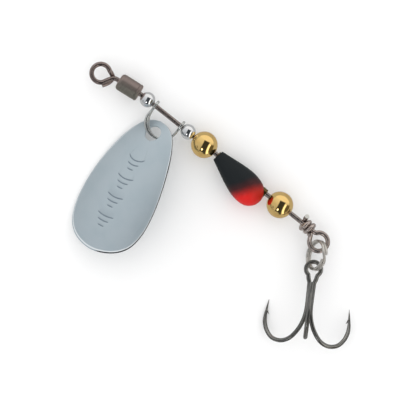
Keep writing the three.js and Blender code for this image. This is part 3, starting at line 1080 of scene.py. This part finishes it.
def barb(outward):
    """The spur cut up from the inner side of a point."""
    bm = bmesh.new()
    bmesh.ops.create_cone(bm, cap_ends=True, segments=14, radius1=0.20, radius2=0.015, depth=0.86)
    lean = (Vector((BARB_LEAN[0], 0, 0)) + outward * BARB_LEAN[1]).normalized()
    at = Vector((BARB_AT[0], 0, 0)) + outward * BARB_AT[1]
    turn = Vector((0, 0, 1)).rotation_difference(lean).to_matrix().to_4x4()
    bmesh.ops.transform(bm, matrix=Matrix.Translation(at) @ turn, verts=bm.verts)
    return bm


def outward_at(degrees):
    """The way that a hook of the treble faces, about the shank."""
    angle = math.radians(degrees)
    return Vector((0, -math.sin(angle), math.cos(angle)))


class SPINNER_OT_treble(bpy.types.Operator):
    """Bends the treble: one wire makes the eye and two hooks, and a third is brazed on"""

    bl_idname = "spinner.treble"
    bl_label = "Treble hook"

    def execute(self, context):
        gauge, eye = mm("hook_wire_radius"), mm("hook_eye_radius")
        place = Matrix.Translation(pivot("hook_swing")) @ turned_by(*HOOK_TURN)
        plating = hook_plating()
        left, right, free = (outward_at(a) for a in (-120, 120, 0))

        first, second = hook_run(left), hook_run(right)
        x, y, z = HOOK_EYE_FOOT
        eye_run = [first[0], (x, y, z), *arc((0, 0, 0), eye, 38, 322, 44), (x, -y, z), second[0]]
        path = [*reversed(first), *through(eye_run, 2)[1:-1], *second]
        runs = [0.0]
        for a, b in zip(path, path[1:]):
            runs.append(runs[-1] + (b - a).length)
        one = sum((b - a).length for a, b in zip(first, first[1:]))

        def section(share):
            """The half width of the wire there, twice."""
            at = runs[min(len(runs) - 1, round(share * (len(path) - 1)))]
            to_tip = 1 - min(at, runs[-1] - at) / one
            return (tapered(max(0.0, to_tip), gauge),) * 2

        pair = sweep(path, section, 22)
        shape = combined(combined(pair, barb(left)), barb(right))
        piece("hook_pair", shape, place, plating, "hook", "hook_pair", 45)

        single = sweep(hook_run(free), lambda share: (tapered(share, gauge),) * 2, 22, (0, 1, 0))
        piece("hook_single", combined(single, barb(free)), place, plating, "hook", "hook_single", 45)

        braze = Finish("hook_braze", "hook_steel", Metallic=1.0)
        lumps = braze.noise(braze.local(place), 3.0, 3.0)
        smoky = braze.blend(lumps, (0.05, 0.05, 0.048, 1), (0.2, 0.19, 0.17, 1))
        braze.set(Base_Color=smoky, Roughness=0.3 + lumps * 0.2)
        braze.relief(lumps, 0.05, 0.8)
        piece("hook_braze", lathe(BRAZE_PROFILE, 32), place, braze, "hook")
        return {"FINISHED"}


# ---------------------------------------------------------------- stage

VIEW_TURN = 38.5
VIEW_WIDTH = 66.0
VIEW_CENTRE = Vector((5.11, -7.57, 0))
LENS = 150.0
SENSOR = 36.0
TABLE_HALF = 2.0
TABLE_GAP = 0.03
SKY_TURN = (0.889, 0.458)


class SPINNER_OT_stage(bpy.types.Operator):
    """Lays the pale table, hangs the soft light and sets the camera straight above"""

    bl_idname = "spinner.stage"
    bl_label = "Stage"

    def execute(self, context):
        scene = context.scene
        scene.view_settings.view_transform = "Standard"
        self.table(scene)
        self.sky(scene)
        self.camera(scene)
        return {"FINISHED"}

    def table(self, scene):
        """A wide table top just under the lure."""
        bm = bmesh.new()
        bmesh.ops.create_grid(bm, x_segments=1, y_segments=1, size=TABLE_HALF)
        bmesh.ops.translate(bm, verts=bm.verts, vec=(0, 0, CAD_BOX[0].z - TABLE_GAP * MM))
        table = bpy.data.objects.new("table", meshed(bm, "table"))
        scene.collection.objects.link(table)
        top = Finish("table_top", "", Roughness=0.75)
        at = top.node("ShaderNodeTexCoord", output="Object")
        mottle = top.noise(at, 40.0, 4.0)
        shade = tint("floor")
        top.set(Base_Color=top.blend(mottle, shade, times(shade, 0.985)))
        # Painted reflection: glossy rays see the table as a flat grey glow, not its lit top.
        reflected_glow = top.node("ShaderNodeEmission", None, {"Color": (0.52, 0.52, 0.51, 1), "Strength": 1.0})
        glossy = top.node("ShaderNodeLightPath", output="Is Glossy Ray")
        lit = Value(top, top.shader.outputs[0])
        both = top.node("ShaderNodeMixShader", None, {0: glossy, 1: lit, 2: reflected_glow})
        top.link(top.tree.nodes["Material Output"].inputs["Surface"], both)
        table.data.materials.append(top.material)

    def sky(self, scene):
        """Even white light for matt surfaces, and a studio of soft boxes and dark cards for bright metal."""
        world = bpy.data.worlds.new("studio")
        scene.world = world
        world.use_nodes = True
        tree = Tree(world.node_tree)
        tree.tree.nodes.clear()
        way = tree.node("ShaderNodeTexCoord", output="Generated")
        turn = (0, 0, -math.radians(VIEW_TURN))
        seen = tree.node("ShaderNodeMapping", {"vector_type": "POINT"}, {"Vector": way, "Rotation": turn})
        x, y, z = tree.parts(seen)
        cosine, sine = SKY_TURN
        across = x * cosine - y * sine
        down = x * -sine - y * cosine
        mist = tree.noise(seen, 5.0, 3.0)
        wall = tree.blend(down.step(-0.75, 0.6), (0.86, 0.86, 0.85, 1), (0.56, 0.57, 0.58, 1))
        floorward = tree.blend(z.step(0.20, -0.10), wall, (0.34, 0.34, 0.33, 1))
        glints = mist.step(0.52, 0.60) * across.step(-0.25, -0.45) * down.step(0.35, 0.6)
        left = tree.blend(glints * 0.8, floorward, (0.06, 0.06, 0.055, 1))
        right = tree.blend(across.step(0.70, 0.82) * down.step(-0.55, -0.30), left, (0.13, 0.12, 0.09, 1))
        card = across.step(-0.30, -0.20) * across.step(0.60, 0.50)
        card = card * down.step(-0.66, -0.52) * down.step(1.0, 0.88)
        dark = tree.blend(card, right, (0.045, 0.05, 0.055, 1))
        ceiling = tree.blend(down.step(-0.56, -0.70), dark, (0.98, 0.96, 0.93, 1))
        strip = across.step(0.57, 0.63) * across.step(0.83, 0.74) * down.step(-0.45, -0.25)
        lamp = tree.blend(strip, ceiling, (1.75, 1.7, 1.6, 1))
        spot = (across * across + (down - 0.72) * (down - 0.72)).step(0.016, 0.008) * z.step(0.0, 0.2)
        studio = tree.blend(spot, lamp, (3.5, 3.5, 3.5, 1))
        mirror = tree.node("ShaderNodeBackground", None, {"Color": studio, "Strength": 1.0})
        even = tree.node("ShaderNodeBackground", None, {"Color": (1, 1, 1, 1), "Strength": 1.24})
        glossy = tree.node("ShaderNodeLightPath", output="Is Glossy Ray")
        both = tree.node("ShaderNodeMixShader", None, {0: glossy, 1: even, 2: mirror})
        tree.node("ShaderNodeOutputWorld", None, {"Surface": both})

    def camera(self, scene):
        """A long lens that looks straight down."""
        data = bpy.data.cameras.new("camera")
        data.lens, data.sensor_width = LENS, SENSOR
        away = VIEW_WIDTH * MM * LENS / SENSOR
        data.clip_start, data.clip_end = away * 0.1, away * 20
        camera = bpy.data.objects.new("camera", data)
        scene.collection.objects.link(camera)
        camera.location = SHAFT + VIEW_CENTRE * MM + Vector((0, 0, away))
        camera.rotation_euler = (0, 0, math.radians(VIEW_TURN))
        scene.camera = camera


class SPINNER_PT_panel(bpy.types.Panel):
    """Sizes, colours and the steps that build the lure"""

    bl_idname = "SPINNER_PT_panel"
    bl_label = "Inline Spinner"
    bl_space_type = "VIEW_3D"
    bl_region_type = "UI"
    bl_category = "Spinner"

    def draw(self, context):
        for group in (context.scene.spinner_sizes, context.scene.spinner_colours):
            column = self.layout.column(align=True)
            for name in group.__annotations__:
                column.prop(group, name)
        for step in STEPS:
            self.layout.operator(step.bl_idname)


STEPS = (
    SPINNER_OT_stage,
    SPINNER_OT_beads,
    SPINNER_OT_body,
    SPINNER_OT_swivel,
    SPINNER_OT_shaft,
    SPINNER_OT_clevis,
    SPINNER_OT_blade,
    SPINNER_OT_split_ring,
    SPINNER_OT_treble,
)
CLASSES = (SpinnerSizes, SpinnerColours, *STEPS, SPINNER_PT_panel)


def register():
    for entry in CLASSES:
        bpy.utils.register_class(entry)
    bpy.types.Scene.spinner_sizes = PointerProperty(type=SpinnerSizes)
    bpy.types.Scene.spinner_colours = PointerProperty(type=SpinnerColours)


def unregister():
    del bpy.types.Scene.spinner_colours
    del bpy.types.Scene.spinner_sizes
    for entry in reversed(CLASSES):
        bpy.utils.unregister_class(entry)


def main():
    """Registers the add-on and builds every piece in order."""
    register()
    for step in STEPS:
        group, name = step.bl_idname.split(".")
        getattr(getattr(bpy.ops, group), name)()
    bpy.context.view_layer.update()


if __name__ == "__main__":
    main()
